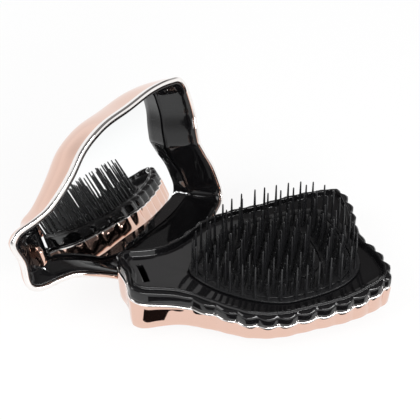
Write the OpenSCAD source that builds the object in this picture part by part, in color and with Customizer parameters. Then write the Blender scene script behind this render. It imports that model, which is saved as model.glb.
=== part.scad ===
// Compact detangling brush with a wing-shaped plan, and its deep clip-on
// cover with a mirror inside. The brush lies on its back with its bristles
// up. The cover stands on its long edge behind the brush, open side forward.

/* [Brush] */
// Length from the narrow end to the wing tips
brush_l = 95; // [90:1:100]
// Width across both wings
wing_w = 64; // [60:1:68]
// Height of the seam between shell and plate where the brush is lowest
seam_z = 11.2; // [9:0.2:12]
// Rise of the seam and the plate towards the narrow end
collar_rise = 8.5; // [6:0.5:11]
// Depth of the scallops along the wings
scallop_depth = 1.3; // [0.4:0.1:1.5]
// Scallops along one wing
scallop_count = 16; // [10:1:18]

/* [Plate] */
// Height of the plate's side band along the wings
band_h = 4.4; // [3:0.2:6]
// Extra height of the side band around the collar
band_extra = 1.4; // [1:0.2:4]
// Height of the raised lip that the cover seats around
lip_h = 1; // [0.6:0.1:1.6]
// How far the bristle bed lies below the lip
bed_drop = 2.4; // [1:0.1:3]
// Wall thickness of the plate
plate_wall = 1.8; // [1.4:0.1:2.4]

/* [Bristles] */
// Length of the longest bristles, in the middle of the bed
long_l = 18; // [14:0.5:19]
// Length of the bristles of the outer row
edge_l = 16.2; // [12:0.2:17]
// Length of the short bristles that stand between the long ones
short_l = 6; // [4:0.5:11]
// Distance between neighbouring bristles
pitch = 2.55; // [2.5:0.05:2.8]
// Width of a bristle at its foot
foot_w = 1.5; // [1.2:0.1:1.8]
// Width of a bristle at its tip
tip_w = 0.8; // [0.6:0.1:1]

/* [Cover] */
// Depth from the rim to the face of the mirror
mirror_depth = 17; // [16:0.2:19]
// Thickness of the mirror glass
mirror_t = 1.4; // [1.2:0.1:2]
// Thickness of the adhesive foam behind the mirror
foam_t = 0.6; // [0.5:0.1:1]
// Wall thickness of the plated cover shell
cover_wall = 1.3; // [1.2:0.1:1.8]
// Wall thickness of the black liner
liner_wall = 1; // [1:0.1:1.4]
// Width of the rounded tab that enters the plate's slot
tongue_w = 8.4; // [6:0.2:9]

/* [Cover beside the brush] */
// Lean of the open side towards the front, from lying open side up
cover_lean = 68; // [50:0.1:80]
// Turn of the cover about the upright
cover_turn = 32; // [0:0.1:40]
// Turn of the cover in its own plane
cover_spin = 0.6; // [-10:0.1:10]
// Where the cover's own origin stands: on its centre line, level with the
// lowest part of its rim
cover_at = [-84.9, 1.3, 33.55];

/* [Hidden] */

rose_gold = [0.89, 0.67, 0.58];
gloss_black = [0.06, 0.06, 0.07];
silver = [0.85, 0.87, 0.9];

half_w = wing_w / 2;
// Steps along one half of the plan, from the narrow end to the notch: the
// collar's, then a fixed number on each scallop, so that every groove is sharp
collar_steps = 10;
lobe_steps = 4;
steps = collar_steps + lobe_steps * scallop_count;
// The brush is lowest here, measured from the narrow end
low_x = 56;
// Plan of one wing as shares of length and half width: narrow end, collar,
// sweep into the wing, long outer edge, wing tip, notch
plan = [for (k = [[0, 0], [0, 0.326], [0.02, 0.37], [0.1, 0.407], [0.168, 0.444], [0.223, 0.534], [0.297, 0.683],
                  [0.386, 0.874], [0.495, 0.983], [0.653, 1], [0.811, 0.995], [0.92, 0.925], [0.978, 0.85],
                  [1, 0.72], [1.002, 0.56], [0.997, 0.37], [0.977, 0.16], [0.965, 0]])
          [k[0] * brush_l, k[1] * half_w]];
last = len(plan) - 1;

// ---- curve through the plan's points ----

function gap(i) = norm(plan[i + 1] - plan[i]);
function chord(i) = (plan[i + 1] - plan[i]) / gap(i);
function slope(i) = i == 0 ? chord(0) : i == last ? chord(last - 1)
    : (chord(i - 1) * gap(i) + chord(i) * gap(i - 1)) / (gap(i - 1) + gap(i));
function left_of(v) = [-v[1], v[0]] / norm(v);
// A plan point moved inwards by d, where the two ends stay on the centre line
function knot(i, d) = i == 0 ? [d, 0]
    : i == last ? [plan[last][0] - d / left_of(slope(last))[0], 0]
    : plan[i] - d * left_of(slope(i));
// Point at place u along the plan, where u counts plan points, moved in by d
function curve(u, d) =
    let (i = min(floor(u), last - 1), t = u - i, a = knot(i, d), b = knot(i + 1, d), h = norm(b - a),
         t2 = t * t, t3 = t2 * t)
    (2 * t3 - 3 * t2 + 1) * a + (t3 - 2 * t2 + t) * h * slope(i)
    + (3 * t2 - 2 * t3) * b + (t3 - t2) * h * slope(i + 1);

// ---- steps along the edge, closer together towards the wing tips ----

fine = 12;
fine_pts = [for (j = [0:last * fine]) curve(j / fine, 0)];
run = [for (j = 0, s = 0; j <= last * fine;
            s = s + (j < last * fine ? norm(fine_pts[j + 1] - fine_pts[j]) : 0), j = j + 1) s];
edge_len = run[last * fine];
by_length = [for (j = [0:last * fine]) [run[j], j / fine]];
// Share of the edge where the scallops start
scallop_from = 0.17;
function wing_share(k) = (k - collar_steps) / (steps - collar_steps);
function edge_share(k) = let (t = wing_share(k))
    t < 0 ? scallop_from * k / collar_steps : scallop_from + (1 - scallop_from) * t * (1.2 - 0.2 * t);
function place(k) = lookup(edge_share(k) * edge_len, by_length);

// ---- heights that follow the length ----

function bow(x) = collar_rise * pow((x - low_x) / low_x, 2);
function smooth(x, a, b) = let (t = max(0, min(1, (x - a) / (b - a)))) t * t * (3 - 2 * t);
// 1 on the collar, 0 on the wings
function collar(x) = 1 - smooth(x, 0.15 * brush_l, 0.32 * brush_l);

// ---- scallops ----

// Convex lobes with a groove after each. They fade in behind the collar, and
// out at the notch.
function scallop(k) = let (t = wing_share(k))
    t <= 0 ? 0 : smooth(t, 0, 0.1) * (1 - smooth(t, 0.93, 1)) * (1 - abs(sin(180 * (k - collar_steps) / lobe_steps)));

// ---- rings: closed loops of points in the same order, ready for a skin ----

// Middle of the plan that every loop can shrink to: a thin lens on the centre line
function core(k, from, to, w) = let (a = 180 * k / steps)
    [(from + to) / 2 - (to - from) / 2 * cos(a), w * sin(a)];
function outward(k) = let (u = place(k), h = 0.01)
    left_of(curve(min(u + h, last), 0) - curve(max(u - h, 0), 0));
// Half loop: moved in by d, scalloped by s, and drawn a share c towards a lens
function half_loop(d, s, c, lens) = [for (k = [0:steps])
    let (u = place(k), p = curve(u, d), q = p - s * scallop(k) * outward(k),
         m = core(k, lens[0], lens[1], lens[2]), r = q + c * (m - q))
    k == 0 || k == steps ? [r[0], 0] : r];
// Whole loop; z is a list of heights, one per half point
function loop(h, z) = concat(
    [for (k = [0:steps]) [h[k][0], h[k][1], z[k]]],
    [for (k = [steps - 1:-1:1]) [h[k][0], -h[k][1], z[k]]]);
// Thin lens that most loops shrink to
mid_lens = [8, 84, 0.4];
function ring(d, z, s = 0, c = 0, lens = mid_lens, bowed = 1) =
    let (h = half_loop(d, s, c, lens)) loop(h, [for (p = h) z + bowed * bow(p[0])]);

around = 2 * steps;
// Joins a closed cap across the centre line, upper side outwards when up is true
function cap(base, up) = [for (k = [0:steps - 1])
    let (a = base + k, b = base + k + 1, c = base + (around - k - 1) % around, d = base + (around - k) % around)
    each k == 0 ? [up ? [a, c, b] : [a, b, c]]
       : k == steps - 1 ? [up ? [a, d, b] : [a, b, d]]
       : up ? [[a, d, c], [a, c, b]] : [[a, c, d], [a, b, c]]];
function sleeve(j) = [for (k = [0:around - 1])
    let (a = j * around + k, b = j * around + (k + 1) % around, c = a + around, d = b + around)
    each [[a, b, d], [a, d, c]]];

// Closed skin over loops that run from the underside, round the outside and
// back over the top, capped across the centre line at both ends
module skin(rings) {
    n = len(rings);
    polyhedron(
        points = [for (r = rings) each r],
        faces = concat(cap(0, true), [for (j = [0:n - 2]) each sleeve(j)], cap((n - 1) * around, false)));
}

// ---- brush ----

// Flat patch in the middle of the back that the brush rests on
rest_lens = [30, 80, 15];
shell_wall = 1.6;

module back_shell() color(rose_gold)
    skin([
        // domed underside, from the flat patch outwards
        ring(3, 0, c = 1, lens = rest_lens, bowed = 0),
        ring(3, 0.6, c = 0.62, lens = rest_lens, bowed = 0),
        ring(3, 2.2, c = 0.26, lens = rest_lens, bowed = 0.05),
        // scalloped flank, up to the seam
        ring(2.2, 4, s = 0.3, bowed = 0.06),
        ring(0.9, 5.4, s = 0.7, bowed = 0.1),
        ring(0, seam_z, s = scallop_depth),
        // inside, down to the floor
        ring(shell_wall, seam_z, s = scallop_depth / 2),
        ring(shell_wall + 1, 5.6, bowed = 0.1),
        ring(shell_wall + 3, 3.4, c = 0.3, lens = rest_lens, bowed = 0.05),
        ring(shell_wall + 3, 1.8, c = 1, lens = rest_lens, bowed = 0)]);

// Heights of the plate above the seam
lip_z = seam_z + band_h + lip_h;
bed_z = lip_z - bed_drop;
seat_gap = 0.05;
bed_lens = [24, 82, 0.4];
// The side band is taller around the collar
function lift(x) = bow(x) + band_extra * collar(x);
function raised(d, z, s = 0, c = 0) = let (h = half_loop(d, s, c, bed_lens))
    loop(h, [for (p = h) z + lift(p[0])]);

slot_x = 6.9;
slot_w = 2.2;
slot_l = tongue_w + 1;

module bristle_plate() color(gloss_black) difference() {
    skin([
        // underside, and the foot that stands on the seam
        raised(3.4, bed_z - plate_wall, c = 1),
        raised(3.4, bed_z - plate_wall),
        ring(3.4, seam_z + seat_gap),
        ring(0.25, seam_z + seat_gap, s = scallop_depth),
        // scalloped band, chamfered ledge and lip
        raised(0.25, seam_z + band_h - 0.8, scallop_depth),
        raised(1.1, seam_z + band_h, scallop_depth * 0.9),
        raised(2.1, seam_z + band_h, scallop_depth * 0.3),
        raised(2.4, lip_z, scallop_depth * 0.3),
        raised(3, lip_z, scallop_depth * 0.2),
        // sunk bed
        raised(4, bed_z),
        raised(4, bed_z, c = 0.28),
        raised(4, bed_z, c = 0.55),
        raised(4, bed_z, c = 1)]);
    // catch slot across the collar
    translate([slot_x - slot_w / 2, -slot_l / 2, seam_z])
        cube([slot_w, slot_l, 30]);
}

// ---- bristles ----

// They stand on the bed, fused to oval slices of backing. The tips of a group
// end at one level, so that they clear the flat mirror when the cover is on.
pad_t = 0.8;
pad_gap = 0.2;
// Bristle field: an oval that is pointed towards the collar and squarish
// towards the wing tips
field_x = 55.7;
field_rx = 31.6;
field_ry = 24;
collar_power = 1.45;
wing_power = 3.6;
oval_steps = 56;
// Shares of the field where one slice ends and the next begins
mid_share = 0.9;
centre_share = 0.56;
// Half the gap between two slices, and the room from a bristle to its slice's
// edge, both as shares of the field
slice_gap = 0.004;
edge_room = 0.04;
long_tips_z = bed_z + long_l;
short_tips_z = bed_z + short_l;

function bed_top(x) = bed_z + lift(x) + pad_gap;
function power(towards_wing) = towards_wing > 0 ? wing_power : collar_power;
function squarish(v, p) = sign(v) * pow(abs(v), 2 / p);
function oval(a, f) = let (c = -cos(a), p = power(c))
    [field_x + field_rx * f * squarish(c, p), field_ry * f * squarish(sin(a), p)];
// Places evenly spaced along an oval, as angles
function even_angles(n, f) =
    let (m = 180, p = [for (j = [0:m]) oval(360 * j / m, f)],
         len_to = [for (j = 0, t = 0; j <= m; t = t + (j < m ? norm(p[j + 1] - p[j]) : 0), j = j + 1) t],
         table = [for (j = [0:m]) [len_to[j], 360 * j / m]])
    [for (j = [0:n - 1]) lookup((j + 0.5) / n * len_to[m], table)];
// Loop of a slice's edge, up above the bed by h
function slice_loop(f, h) = [for (a = even_angles(oval_steps, f)) let (p = oval(a, f))
    [p[0], p[1], bed_top(p[0]) + h]];
// How far out in the field a point lies: 0 in the middle, 1 at the edge
function share(p) = let (x = (p[0] - field_x) / field_rx, y = p[1] / field_ry, e = power(x))
    pow(pow(abs(x), e) + pow(abs(y), e), 1 / e);

// Backing between two ovals, as a closed hoop
module hoop(outer, inner) {
    loops = [slice_loop(outer, 0), slice_loop(outer, pad_t), slice_loop(inner, pad_t), slice_loop(inner, 0)];
    n = oval_steps;
    polyhedron(points = [for (l = loops) each l],
        faces = [for (j = [0:3], k = [0:n - 1])
            let (a = j * n + k, b = j * n + (k + 1) % n, c = (j + 1) % 4 * n + k, d = (j + 1) % 4 * n + (k + 1) % n)
            each [[a, b, d], [a, d, c]]]);
}
// Backing inside one oval, as a closed disc with a crown point on each face
module disc(outer) {
    n = oval_steps;
    z = bed_top(field_x);
    polyhedron(points = concat(slice_loop(outer, 0), slice_loop(outer, pad_t), [[field_x, 0, z], [field_x, 0, z + pad_t]]),
        faces = [for (k = [0:n - 1]) let (m = (k + 1) % n)
            each [[k, m, n + m], [k, n + m, n + k], [2 * n, m, k], [2 * n + 1, n + k, n + m]]]);
}
// Three-sided strand from its foot inside the backing to a blunt tip
module strand(p, tip_z) {
    foot_z = bed_top(p[0]) + pad_t / 2;
    ring_r = [foot_w / sqrt(3), tip_w / sqrt(3)];
    pts = [for (j = [0, 1], a = [90, 210, 330])
             [p[0] + ring_r[j] * cos(a), p[1] + ring_r[j] * sin(a), j == 0 ? foot_z : tip_z]];
    polyhedron(points = pts, faces = [[0, 1, 2], [5, 4, 3], [0, 3, 4, 1], [1, 4, 5, 2], [2, 5, 3, 0]]);
}

// Outer row: evenly round the field
outer_count = 36;
outer_share = (1 + mid_share) / 2;
outer_row = [for (a = even_angles(outer_count, outer_share)) oval(a, outer_share)];
// Two tiers on one staggered grid: every other bristle of every other row is
// long, and the ones between are short
row_pitch = pitch * 0.85;
function tier(long) = [for (j = [-12:12], i = [-14:14])
    if (long == (j % 2 == 0 && (i + j / 2) % 2 == 0))
    [field_x + (i + (j % 2 == 0 ? 0 : 0.5)) * pitch, j * row_pitch]];
function within(points, from, to) = [for (p = points) if (share(p) > from && share(p) < to) p];
module both_tiers(from, to) {
    for (p = within(tier(true), from, to)) strand(p, long_tips_z);
    for (p = within(tier(false), from, to)) strand(p, short_tips_z + bow(p[0]));
}

module outer_bristles() color(gloss_black) {
    hoop(1, mid_share + slice_gap);
    for (p = outer_row) strand(p, bed_z + edge_l + bow(p[0]) / 2);
}
module mid_bristles() color(gloss_black) {
    hoop(mid_share - slice_gap, centre_share + slice_gap);
    both_tiers(centre_share + edge_room, mid_share - edge_room);
}
module centre_bristles() color(gloss_black) {
    disc(centre_share - slice_gap);
    both_tiers(-1, centre_share - edge_room);
}

// ---- cover, drawn as it sits on the brush, with its rim's lowest part at 0 ----

liner_floor = mirror_depth + mirror_t + foam_t + 2 * seat_gap;
tray_gap = 1.1;
ceiling = liner_floor + liner_wall + tray_gap;
crown = 0.8;
cover_top = ceiling + cover_wall + crown;
mirror_inset = 6.4;
cover_lens = [20, 84, 1];
// The cover is shallower over the collar, up to where the mirror starts
nose_drop = 6;
nose_from = 7.9;
nose_to = 13.2;
function nose(x) = nose_drop * (1 - smooth(x, nose_from, nose_to));
// Loop at a share t of the way from the rim, raised by off, to the height top.
// The rim follows the ledge of the plate.
function wall_loop(d, t, off = 0, c = 0, top = cover_top) =
    let (h = half_loop(d, 0, c, cover_lens))
    loop(h, [for (p = h) let (r = lift(p[0]) + off) r + t * (top - nose(p[0]) - r)]);

module cover_shell() color(rose_gold)
    skin([
        // ceiling and inner wall, down to the rim
        wall_loop(6, 1, c = 1, top = ceiling),
        wall_loop(4.6, 1, c = 0.62, top = ceiling),
        wall_loop(4.6, 1, c = 0.24, top = ceiling),
        wall_loop(4.6, 1, top = ceiling),
        wall_loop(2.6, 0.6, top = ceiling),
        wall_loop(cover_wall, 0),
        wall_loop(0, 0),
        // rolled bead round the rim
        wall_loop(-0.5, 0, off = 0.5),
        wall_loop(-0.1, 0.02, off = 1.1),
        // outer wall and domed top
        wall_loop(0.9, 0.45, off = 1.1),
        wall_loop(2.5, 0.76),
        wall_loop(5, 0.92),
        wall_loop(6.5, 0.96, c = 0.12),
        wall_loop(6.5, 0.99, c = 0.5),
        wall_loop(6, 1, c = 1)]);

module cover_liner() color(gloss_black)
    skin([
        // floor behind the mirror, and the walls seen from the open side
        wall_loop(6, 1, c = 1, top = liner_floor),
        wall_loop(6, 1, c = 0.56, top = liner_floor),
        wall_loop(6, 1, c = 0.12, top = liner_floor),
        wall_loop(6, 1, top = liner_floor),
        wall_loop(cover_wall + liner_wall, 0, off = 0.6),
        // faces turned to the shell
        wall_loop(cover_wall + 0.4, 0, off = 0.6),
        wall_loop(2.9, 0.6, top = ceiling - tray_gap),
        wall_loop(4.8, 1, top = ceiling - tray_gap),
        wall_loop(4.8, 1, c = 0.24, top = ceiling - tray_gap),
        wall_loop(4.8, 1, c = 0.62, top = ceiling - tray_gap),
        wall_loop(6, 1, c = 1, top = ceiling - tray_gap)]);

// Plate with the wing plan moved in by d, cut square before the collar's end
module wing_plate(d, from_x, t) {
    side = [for (k = [0:steps]) let (p = curve(place(k), d)) if (p[0] > from_x + 0.2) p];
    linear_extrude(t) polygon(concat([[from_x, side[0][1]]], side,
        [for (k = [len(side) - 2:-1:0]) [side[k][0], -side[k][1]]], [[from_x, -side[0][1]]]));
}
mirror_from = 16.6;
module mirror_foam() color("white")
    translate([0, 0, mirror_depth + mirror_t + seat_gap]) wing_plate(mirror_inset + 1, mirror_from + 2.5, foam_t);
module mirror_glass() color(silver)
    translate([0, 0, mirror_depth]) wing_plate(mirror_inset, mirror_from, mirror_t);

// Rounded tab that hangs from the liner's floor into the plate's slot
tongue_t = 1.6;
tongue_l = 7.2;
tongue_r = 2.6;
module catch_tongue() color(rose_gold)
    translate([slot_x - tongue_t / 2, 0, liner_floor - nose_drop - tongue_l]) {
        translate([0, -tongue_w / 2, tongue_r]) cube([tongue_t, tongue_w, tongue_l - tongue_r]);
        translate([0, tongue_r - tongue_w / 2, 0]) cube([tongue_t, tongue_w - 2 * tongue_r, tongue_l]);
        for (side = [-1, 1]) translate([0, side * (tongue_w / 2 - tongue_r), tongue_r])
            rotate([0, 90, 0]) cylinder(r = tongue_r, h = tongue_t, $fn = 48);
    }

// ---- places ----

// The brush rests on the flat patch of its back, whose middle is the origin
module brush_place() translate([-(rest_lens[0] + rest_lens[1]) / 2, 0, 0]) children();
// The cover is turned over, open side up, then spun, leaned and turned
module cover_place() translate(cover_at) rotate([0, 0, cover_turn]) rotate([cover_lean, 0, 0])
    rotate([0, 0, cover_spin]) rotate([180, 0, 0]) children();

brush_place() back_shell();
brush_place() bristle_plate();
brush_place() outer_bristles();
brush_place() mid_bristles();
brush_place() centre_bristles();
cover_place() cover_shell();
cover_place() cover_liner();
cover_place() mirror_foam();
cover_place() mirror_glass();
cover_place() catch_tongue();
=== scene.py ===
import math

import bmesh
import bpy
from mathutils import Matrix, Vector
from mathutils.bvhtree import BVHTree


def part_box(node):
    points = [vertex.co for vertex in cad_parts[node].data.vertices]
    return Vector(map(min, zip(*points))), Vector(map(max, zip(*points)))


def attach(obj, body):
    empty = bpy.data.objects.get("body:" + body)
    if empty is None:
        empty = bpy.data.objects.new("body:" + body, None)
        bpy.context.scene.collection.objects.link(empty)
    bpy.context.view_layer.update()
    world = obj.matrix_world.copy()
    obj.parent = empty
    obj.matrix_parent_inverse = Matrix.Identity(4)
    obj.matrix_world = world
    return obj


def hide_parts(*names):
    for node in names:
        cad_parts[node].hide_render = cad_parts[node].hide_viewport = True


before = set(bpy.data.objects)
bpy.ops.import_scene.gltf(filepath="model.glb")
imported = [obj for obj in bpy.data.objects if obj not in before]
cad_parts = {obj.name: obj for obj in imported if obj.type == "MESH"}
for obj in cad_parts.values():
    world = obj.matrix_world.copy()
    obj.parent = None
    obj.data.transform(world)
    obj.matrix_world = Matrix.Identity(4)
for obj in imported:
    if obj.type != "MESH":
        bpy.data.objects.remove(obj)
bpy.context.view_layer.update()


# ---- Camera ----
# Looks down on the brush from its near long side, turned a little towards its
# wing tips, from arm's length, so that the cover stands behind on the left.
look_az, look_el = math.radians(20.1), math.radians(43)
look_distance = 0.6
look_target = Vector((-0.0075, 0, 0.005))
picture_px = 420
target_px = Vector((250.2, 283.1))
px_per_metre = 2668
sensor_mm = 36

ahead = Vector((math.sin(look_az) * math.cos(look_el),
                math.cos(look_az) * math.cos(look_el),
                -math.sin(look_el)))
rightwards = Vector((math.cos(look_az), -math.sin(look_az), 0))
upwards = rightwards.cross(ahead)
focal_px = px_per_metre * look_distance
to_middle = Vector((picture_px / 2, picture_px / 2)) - target_px
aim = ahead * focal_px + rightwards * to_middle.x - upwards * to_middle.y

camera_data = bpy.data.cameras.new("camera")
camera_data.sensor_width = sensor_mm
camera_data.lens = focal_px / picture_px * sensor_mm
camera = bpy.data.objects.new("camera", camera_data)
camera.location = look_target - ahead * look_distance
camera.rotation_mode = "QUATERNION"
camera.rotation_quaternion = aim.to_track_quat("-Z", "Y")
bpy.context.scene.collection.objects.link(camera)
bpy.context.scene.camera = camera
bpy.context.scene.view_settings.view_transform = "Standard"


# ---- Floor and studio ----
# A pale sweep under the object and a white room with a dim upper half, so that
# polished faces show one soft band of light. Two black cards on the floor
# darken the flanks that stand close to them.
white = (1, 1, 1, 1)
floor_half = 1.6
floor_drop = 0.0002
floor_white = (0.86, 0.86, 0.86, 1)
floor_glow = 0.85
matt_roughness = 0.9
room_strength = 0.8
# Height, and colour as polished faces see it, of three levels of the room
horizon = (0.03, white)
dimmest = (0.42, (0.07, 0.06, 0.06, 1))
ceiling = (0.9, (0.2, 0.195, 0.195, 1))
# Place, point faced, width, depth and watts of each lamp
lamps = {
    "back light": ((0.19, 0.49, 0.34), (0.09, 0.14, 0), 0.4, 0.17, 0.1),
    "left light": ((-0.55, -0.1, 0.5), (0, 0, 0), 0.35, 0.35, 1.2),
    "front strip": ((0.12, -0.5, 0.3), (0, 0, 0.02), 0.8, 0.07, 3),
}
# Corners of each card in plan
cards = {
    "collar card": ((-0.056, -0.0185), (-0.056, -0.026), (-0.042, -0.026), (-0.044, -0.019)),
    "wing card": ((-0.05, -0.031), (-0.05, -0.05), (0.05, -0.06), (0.05, -0.041), (0, -0.041)),
}
card_black = (0.01, 0.008, 0.008, 1)
card_reach = 0.04


def new_material(name):
    """A material with an empty node tree but for its Principled BSDF and output"""
    material = bpy.data.materials.new(name)
    material.use_nodes = True
    nodes = material.node_tree.nodes
    return material, nodes, material.node_tree.links, nodes["Principled BSDF"]


def matt_material(name, colour):
    """A material without any shine"""
    material, nodes, links, shader = new_material(name)
    shader.inputs["Base Color"].default_value = colour
    shader.inputs["Roughness"].default_value = matt_roughness
    shader.inputs["Specular IOR Level"].default_value = 0
    return material, nodes, links, shader


def put(bm, name, material):
    """Makes the object of a finished bmesh, smooth shaded"""
    mesh = bpy.data.meshes.new(name)
    bm.to_mesh(mesh)
    bm.free()
    mesh.materials.append(material)
    mesh.shade_smooth()
    piece = bpy.data.objects.new(name, mesh)
    bpy.context.scene.collection.objects.link(piece)
    return piece


floor_material, nodes, links, shader = matt_material("pale floor", floor_white)
glow = nodes.new("ShaderNodeEmission")
glow.inputs["Color"].default_value = white
rays = nodes.new("ShaderNodeLightPath")
share = nodes.new("ShaderNodeMath")
share.operation = "MULTIPLY"
share.inputs[1].default_value = floor_glow
either = nodes.new("ShaderNodeMath")
either.operation = "MAXIMUM"
mixed = nodes.new("ShaderNodeMixShader")
links.new(rays.outputs["Is Camera Ray"], either.inputs[0])
links.new(rays.outputs["Is Glossy Ray"], either.inputs[1])
links.new(either.outputs[0], share.inputs[0])
links.new(share.outputs[0], mixed.inputs[0])
links.new(shader.outputs[0], mixed.inputs[1])
links.new(glow.outputs[0], mixed.inputs[2])
links.new(mixed.outputs[0], nodes["Material Output"].inputs["Surface"])

bm = bmesh.new()
bmesh.ops.create_grid(bm, x_segments=1, y_segments=1, size=floor_half)
bmesh.ops.translate(bm, verts=bm.verts, vec=(0, 0, -floor_drop))
put(bm, "floor", floor_material)

world = bpy.data.worlds.new("studio")
bpy.context.scene.world = world
world.use_nodes = True
nodes, links = world.node_tree.nodes, world.node_tree.links
room = nodes["Background"]
room.inputs["Color"].default_value = white
room.inputs["Strength"].default_value = room_strength
where = nodes.new("ShaderNodeTexCoord")
height = nodes.new("ShaderNodeSeparateXYZ")
band = nodes.new("ShaderNodeValToRGB")
levels = band.color_ramp.elements
levels[0].position, levels[0].color = horizon
levels[1].position, levels[1].color = dimmest
levels.new(ceiling[0]).color = ceiling[1]
mirrored_room = nodes.new("ShaderNodeBackground")
backdrop = nodes.new("ShaderNodeBackground")
backdrop.inputs["Color"].default_value = white
rays = nodes.new("ShaderNodeLightPath")
mirrored = nodes.new("ShaderNodeMixShader")
shown = nodes.new("ShaderNodeMixShader")
links.new(where.outputs["Generated"], height.inputs[0])
links.new(height.outputs["Z"], band.inputs["Fac"])
links.new(band.outputs["Color"], mirrored_room.inputs["Color"])
links.new(rays.outputs["Is Glossy Ray"], mirrored.inputs[0])
links.new(room.outputs[0], mirrored.inputs[1])
links.new(mirrored_room.outputs[0], mirrored.inputs[2])
links.new(rays.outputs["Is Camera Ray"], shown.inputs[0])
links.new(mirrored.outputs[0], shown.inputs[1])
links.new(backdrop.outputs[0], shown.inputs[2])
links.new(shown.outputs[0], nodes["World Output"].inputs["Surface"])


def softbox(name, place, towards, width, depth, watts):
    """A soft rectangular lamp at a place, facing a point"""
    data = bpy.data.lights.new(name, "AREA")
    data.shape = "RECTANGLE"
    data.size, data.size_y = width, depth
    data.energy = watts
    lamp = bpy.data.objects.new(name, data)
    lamp.location = place
    lamp.rotation_mode = "QUATERNION"
    lamp.rotation_quaternion = (Vector(towards) - Vector(place)).to_track_quat("-Z", "Y")
    bpy.context.scene.collection.objects.link(lamp)


def dark_card(name, corners):
    """A flat black card on the floor that only polished faces close to it see"""
    material, nodes, links, shader = matt_material(name, card_black)
    rays = nodes.new("ShaderNodeLightPath")
    near = nodes.new("ShaderNodeMath")
    near.operation = "LESS_THAN"
    near.inputs[1].default_value = card_reach
    clear = nodes.new("ShaderNodeBsdfTransparent")
    mixed = nodes.new("ShaderNodeMixShader")
    links.new(rays.outputs["Ray Length"], near.inputs[0])
    links.new(near.outputs[0], mixed.inputs[0])
    links.new(clear.outputs[0], mixed.inputs[1])
    links.new(shader.outputs[0], mixed.inputs[2])
    links.new(mixed.outputs[0], nodes["Material Output"].inputs["Surface"])
    bm = bmesh.new()
    bm.faces.new([bm.verts.new((x, y, 0)) for x, y in corners])
    card = put(bm, name, material)
    card.visible_camera = card.visible_diffuse = card.visible_shadow = False


for name, corners in cards.items():
    dark_card(name, corners)
for name, lamp in lamps.items():
    softbox(name, *lamp)


# ---- Back shell of the brush ----
# Injection moulded shell with a domed belly and scalloped flanks, plated in
# bright rose gold. It snaps round the edge of the bristle plate, and the edge
# of its seam is painted near white as a thin highlight line.
rose_gold = (0.8, 0.55, 0.455, 1)
worn_gold = (0.785, 0.537, 0.442, 1)
# Painted highlight: near-white metal, with dimmer specks, for the thin bright line along the seam
# edge and the cover's rim
highlight_white = (0.94, 0.91, 0.89, 1)
highlight_speck = (0.85, 0.8, 0.77, 1)
highlight_slot = 1
seam_edge = 0.0007
# The seam lies between a face that points up this much and a wall that doesn't
seam_flat, seam_wall = 0.8, 0.5
weld = 2e-6
join_bend, join_skew = math.radians(35), math.radians(80)
soft_edge = math.radians(26)
edge_crease = 0.75
smooth_levels = 2
smear_detail, smear_warp = 5, 0.8
grain_fineness, grain_detail, grain_share = 14, 3, 0.25
speck_from, speck_to = 0.6, 0.78
mark_depth = 0.0001


def solid_of(node):
    """A copy of a node's solid, with its doubled corners merged"""
    bm = bmesh.new()
    bm.from_mesh(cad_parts[node].data)
    bmesh.ops.remove_doubles(bm, verts=bm.verts, dist=weld)
    return bm


def sharper_than(edge, angle):
    """Whether two faces meet at an edge at more than an angle"""
    return len(edge.link_faces) == 2 and edge.calc_face_angle() > angle


def cad_copy(node):
    """The solid of a node as clean quads, with its sharp edges creased"""
    bm = solid_of(node)
    bmesh.ops.join_triangles(bm, faces=bm.faces, angle_face_threshold=join_bend,
                             angle_shape_threshold=join_skew)
    crease = bm.edges.layers.float.new("crease_edge")
    for edge in bm.edges:
        if sharper_than(edge, soft_edge):
            edge[crease] = edge_crease
    return bm


def rounded(piece):
    """Smooths a piece by subdivision, with its creased edges kept narrow"""
    smooth = piece.modifiers.new("rounded", "SUBSURF")
    smooth.levels = smooth.render_levels = smooth_levels
    return piece


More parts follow.
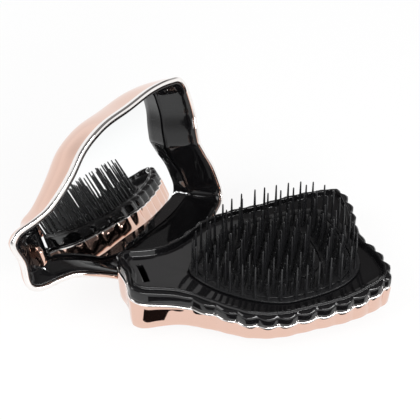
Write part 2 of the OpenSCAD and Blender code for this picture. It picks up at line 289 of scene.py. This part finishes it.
def handling_marks():
    """Node group: broad smears and fine grain, as a roughness, a height and specks"""
    group = bpy.data.node_groups.new("handling marks", "ShaderNodeTree")
    face = group.interface
    for name, kind in (("Vector", "NodeSocketVector"), ("Scale", "NodeSocketFloat"),
                       ("Roughness", "NodeSocketFloat"), ("Spread", "NodeSocketFloat")):
        face.new_socket(name, in_out="INPUT", socket_type=kind)
    for name in ("Roughness", "Height", "Dust"):
        face.new_socket(name, in_out="OUTPUT", socket_type="NodeSocketFloat")
    nodes, links = group.nodes, group.links
    given, out = nodes.new("NodeGroupInput"), nodes.new("NodeGroupOutput")
    smear = nodes.new("ShaderNodeTexNoise")
    smear.inputs["Detail"].default_value = smear_detail
    smear.inputs["Distortion"].default_value = smear_warp
    fine = nodes.new("ShaderNodeMath")
    fine.operation = "MULTIPLY"
    fine.inputs[1].default_value = grain_fineness
    grain = nodes.new("ShaderNodeTexNoise")
    grain.inputs["Detail"].default_value = grain_detail
    spread = nodes.new("ShaderNodeMath")
    spread.operation = "MULTIPLY"
    total = nodes.new("ShaderNodeMath")
    total.operation = "ADD"
    blend = nodes.new("ShaderNodeMath")
    blend.operation = "MULTIPLY_ADD"
    blend.inputs[1].default_value = grain_share
    speck = nodes.new("ShaderNodeMapRange")
    speck.inputs["From Min"].default_value = speck_from
    speck.inputs["From Max"].default_value = speck_to
    links.new(given.outputs["Vector"], smear.inputs["Vector"])
    links.new(given.outputs["Scale"], smear.inputs["Scale"])
    links.new(given.outputs["Scale"], fine.inputs[0])
    links.new(given.outputs["Vector"], grain.inputs["Vector"])
    links.new(fine.outputs[0], grain.inputs["Scale"])
    links.new(smear.outputs["Fac"], spread.inputs[0])
    links.new(given.outputs["Spread"], spread.inputs[1])
    links.new(spread.outputs[0], total.inputs[0])
    links.new(given.outputs["Roughness"], total.inputs[1])
    links.new(grain.outputs["Fac"], blend.inputs[0])
    links.new(smear.outputs["Fac"], blend.inputs[2])
    links.new(grain.outputs["Fac"], speck.inputs["Value"])
    links.new(total.outputs[0], out.inputs["Roughness"])
    links.new(blend.outputs[0], out.inputs["Height"])
    links.new(speck.outputs[0], out.inputs["Dust"])
    return group


marks = handling_marks()


def marked(nodes, links, shader, scale, roughness, spread, bump):
    """Puts the handling marks on a shader's roughness and normal"""
    where = nodes.new("ShaderNodeTexCoord")
    marking = nodes.new("ShaderNodeGroup")
    marking.node_tree = marks
    marking.inputs["Scale"].default_value = scale
    marking.inputs["Roughness"].default_value = roughness
    marking.inputs["Spread"].default_value = spread
    uneven = nodes.new("ShaderNodeBump")
    uneven.inputs["Strength"].default_value = bump
    uneven.inputs["Distance"].default_value = mark_depth
    links.new(where.outputs["Object"], marking.inputs["Vector"])
    links.new(marking.outputs["Roughness"], shader.inputs["Roughness"])
    links.new(marking.outputs["Height"], uneven.inputs["Height"])
    links.new(uneven.outputs["Normal"], shader.inputs["Normal"])
    return marking


def speckled(name, colour, speck_colour, scale, roughness, spread, bump):
    """A material with the handling marks, and specks of a second colour"""
    material, nodes, links, shader = new_material(name)
    marking = marked(nodes, links, shader, scale, roughness, spread, bump)
    tint = nodes.new("ShaderNodeMix")
    tint.data_type = "RGBA"
    tint.inputs["A"].default_value = colour
    tint.inputs["B"].default_value = speck_colour
    links.new(marking.outputs["Dust"], tint.inputs["Factor"])
    links.new(tint.outputs["Result"], shader.inputs["Base Color"])
    return material, shader


plating, shader = speckled("rose gold plating", rose_gold, worn_gold,
                           scale=38, roughness=0.03, spread=0.04, bump=0.05)
shader.inputs["Metallic"].default_value = 1
# The painted highlight material for the seam edge and the cover's rim
painted_highlight_rim, shader = speckled("painted highlight rim", highlight_white, highlight_speck,
                              scale=60, roughness=0.03, spread=0.05, bump=0.04)
shader.inputs["Metallic"].default_value = 1


def is_seam(edge):
    """Whether an edge is the outer one of the shell's top face"""
    if len(edge.link_faces) != 2:
        return False
    flat, wall = sorted((f.normal for f in edge.link_faces), key=lambda normal: -normal.z)
    middle = (edge.verts[0].co + edge.verts[1].co) / 2
    faces_out = wall.xy.dot(middle.xy - shell_middle.xy) > 0
    return flat.z > seam_flat and wall.z < seam_wall and faces_out


bm = cad_copy("back_shell")
low_corner, high_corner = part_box("back_shell")
shell_middle = (Vector(low_corner) + Vector(high_corner)) / 2
# The seam's outer edge is bevelled, and the bevel's faces take the near-white painted highlight
seam = bmesh.ops.bevel(bm, geom=[e for e in bm.edges if is_seam(e)], offset=seam_edge,
                       segments=2, profile=0.5, affect="EDGES", material=-1)
for face in seam["faces"]:
    face.material_index = highlight_slot
shell = rounded(put(bm, "plated_back", plating))
shell.data.materials.append(painted_highlight_rim)
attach(shell, "brush")
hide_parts("back_shell")


# ---- Bristle plate ----
# One black moulding with a polished face: scalloped side band, raised lip,
# sunk bed, and the slot in the collar that the cover's tab enters.
gloss_black = (0.005, 0.0048, 0.0054, 1)
smeared_black = (0.009, 0.0088, 0.0096, 1)
black_sheen = 0.55

black, shader = speckled("polished black moulding", gloss_black, smeared_black,
                         scale=55, roughness=0.04, spread=0.05, bump=0.06)
shader.inputs["Specular IOR Level"].default_value = black_sheen

plate = rounded(put(cad_copy("bristle_plate"), "black_plate", black))
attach(plate, "brush")
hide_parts("bristle_plate")


# ---- Bristles ----
# Tapered strands with rounded tips in three groups, each moulded with its own
# slice of the raised backing. The strands are a softer black than the plate.
strand_black = (0.011, 0.011, 0.012, 1)
dusty_black = (0.03, 0.03, 0.031, 1)
strand_sides = 8
# Radius of a strand at its root, above the root, at its neck, below its tip
# and on the crown of the tip, and where these lie
root_r, waist_r, neck_r, tip_r, crown_r = 0.00082, 0.0006, 0.00046, 0.0003, 0.000186
waist_up, neck_share, tip_down, crown_down = 0.0007, 0.55, 0.0004, 0.0001
root_sink = 0.0002
strand_weld = 1e-6
# In a solid, a face that rises more is a strand's side, and a level face this
# far above the underside is a strand's tip
side_rise = 0.0025
tip_clear = 0.004
level_facing = 0.99
strand_hole_sides = 24
backing_sharp = 0.9
backing_edge = 0.00025

bristle_black, shader = speckled("bristle plastic", strand_black, dusty_black,
                                 scale=90, roughness=0.2, spread=0.16, bump=0.15)


def bristle_group(node, name):
    """The backing of a node, and a round strand for each of its tips"""
    bm = solid_of(node)
    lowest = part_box(node)[0][2]

    def heights(face):
        return [v.co.z for v in face.verts]

    sides = [f for f in bm.faces if max(heights(f)) - min(heights(f)) > side_rise]
    tops = [f for f in bm.faces
            if f.normal.z > level_facing and min(heights(f)) > lowest + tip_clear]
    tips = []
    for face in tops:
        middle = face.calc_center_median()
        if all((middle - other).length > root_r for other in tips):
            tips.append(middle.copy())
    bmesh.ops.delete(bm, geom=sides + tops, context="FACES")
    bmesh.ops.holes_fill(bm, edges=[e for e in bm.edges if e.is_boundary],
                         sides=strand_hole_sides)
    bmesh.ops.delete(bm, geom=[v for v in bm.verts if not v.link_faces], context="VERTS")
    corners = [e for e in bm.edges if sharper_than(e, backing_sharp)]
    bmesh.ops.bevel(bm, geom=corners, offset=backing_edge, segments=2, profile=0.5,
                    affect="EDGES", material=-1)
    ground = BVHTree.FromBMesh(bm)
    for tip in tips:
        hit = ground.ray_cast(tip, Vector((0, 0, -1)))[0]
        foot, length = hit.z - root_sink, tip.z - hit.z
        profile = ((root_r, foot), (waist_r, foot + waist_up),
                   (neck_r, foot + neck_share * length), (tip_r, tip.z - tip_down),
                   (crown_r, tip.z - crown_down), (0, tip.z))
        line = [bm.verts.new((tip.x + r, tip.y, z)) for r, z in profile]
        edges = [bm.edges.new(pair) for pair in zip(line, line[1:])]
        bmesh.ops.spin(bm, geom=line + edges, axis=(0, 0, 1), cent=(tip.x, tip.y, 0),
                       angle=math.tau, steps=strand_sides, use_merge=True)
    bmesh.ops.remove_doubles(bm, verts=bm.verts, dist=strand_weld)
    bmesh.ops.recalc_face_normals(bm, faces=bm.faces)
    piece = put(bm, name, bristle_black)
    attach(piece, "brush")
    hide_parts(node)


bristle_group("outer_bristles", "edge_row")
bristle_group("mid_bristles", "middle_rows")
bristle_group("centre_bristles", "centre_rows")


# ---- Cover shell ----
# The deep lid of the brush, moulded and plated like the back shell, with a
# rolled rim that sits on the ledge round the plate; a band round the rim is
# painted near white as a highlight line.
cover_at = (-0.0849, 0.0013, 0.03355)
cover_lean, cover_turn, cover_spin = math.radians(68), math.radians(32), math.radians(0.6)
# The rim's height rises both ways from its lowest point, and more at the collar
rim_low_x, rim_bow = 0.056, 0.0085
collar_lift, collar_ends = 0.0014, (0.0143, 0.0304)
# Heights over the rim whose faces take the near-white painted highlight
rim_highlight_band = (-0.0002, 0.0016)
# Stretch along the cover where its top steps down to the narrow end
neck = (0.004, 0.024)
top_facing = 0.5

cover_place = (Matrix.Translation(cover_at)
               @ Matrix.Rotation(cover_turn, 4, "Z") @ Matrix.Rotation(cover_lean, 4, "X")
               @ Matrix.Rotation(cover_spin, 4, "Z") @ Matrix.Rotation(math.pi, 4, "X"))
into_cover = cover_place.inverted()
cover_top = cover_place.to_3x3() @ Vector((0, 0, 1))


def over_rim(point):
    """How far a point lies above the cover's rim, as the cover sits on the brush"""
    x, _, z = into_cover @ point
    along = min(1, max(0, (x - collar_ends[0]) / (collar_ends[1] - collar_ends[0])))
    collar = 1 - along * along * (3 - 2 * along)
    return z - rim_bow * ((x - rim_low_x) / rim_low_x) ** 2 - collar_lift * collar


def on_neck(vert):
    """Whether a corner lies on the outside of the cover's neck"""
    return neck[0] < (into_cover @ vert.co).x < neck[1] and vert.normal.dot(cover_top) > top_facing


bm = cad_copy("cover_shell")
crease = bm.edges.layers.float["crease_edge"]
bm.normal_update()
for edge in bm.edges:
    if all(on_neck(vert) for vert in edge.verts):
        edge[crease] = 0
# Faces in that band round the rim take the near-white painted highlight
for face in bm.faces:
    if rim_highlight_band[0] < over_rim(face.calc_center_median()) < rim_highlight_band[1]:
        face.material_index = highlight_slot
cover = rounded(put(bm, "plated_cover", plating))
cover.data.materials.append(painted_highlight_rim)
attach(cover, "cover")
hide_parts("cover_shell")


# ---- Cover liner ----
# Black inner tray, pressed into the plated shell. Its floor carries the
# mirror, and its walls stand up round it.
liner = rounded(put(cad_copy("cover_liner"), "black_tray", black))
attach(liner, "cover")
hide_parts("cover_liner")


# ---- Mirror ----
# Back-silvered glass cut to the wings' outline, with a ground and polished
# edge, stuck to the tray's floor with a sheet of foam.
silver = (0.97, 0.98, 0.98, 1)
foam_grey = (0.72, 0.72, 0.7, 1)
ground_edge, ground_segments = 0.0006, 1
same_plane, sharp_corner, shaded_sharp = math.radians(1), math.radians(50), math.radians(22)


def bevelled(node, name, material, width, segments):
    """A node's solid with its sharp edges rounded over"""
    bm = solid_of(node)
    bmesh.ops.dissolve_limit(bm, angle_limit=same_plane, verts=bm.verts, edges=bm.edges)
    sharp = [e for e in bm.edges if sharper_than(e, sharp_corner)]
    bmesh.ops.bevel(bm, geom=sharp, offset=width, segments=segments, profile=0.5,
                    affect="EDGES", material=-1)
    piece = put(bm, name, material)
    piece.data.set_sharp_from_angle(angle=shaded_sharp)
    return piece


silvered, nodes, links, shader = new_material("silvered glass")
shader.inputs["Base Color"].default_value = silver
shader.inputs["Metallic"].default_value = 1
marked(nodes, links, shader, scale=30, roughness=0.004, spread=0.02, bump=0.004)
glass = bevelled("mirror_glass", "mirror", silvered, ground_edge, ground_segments)
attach(glass, "cover")
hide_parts("mirror_glass")

foam, nodes, links, shader = new_material("adhesive foam")
shader.inputs["Base Color"].default_value = foam_grey
marked(nodes, links, shader, scale=900, roughness=0.75, spread=0.2, bump=0.6)
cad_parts["mirror_foam"].data.materials.clear()
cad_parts["mirror_foam"].data.materials.append(foam)


# ---- Catch tab ----
# Rounded tab moulded on the tray and plated with the shell. It stands in the
# narrow end and enters the slot of the plate when the cover is pressed on.
tab_edge, tab_segments = 0.0004, 3

tab = bevelled("catch_tongue", "catch_tab", plating, tab_edge, tab_segments)
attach(tab, "cover")
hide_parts("catch_tongue")
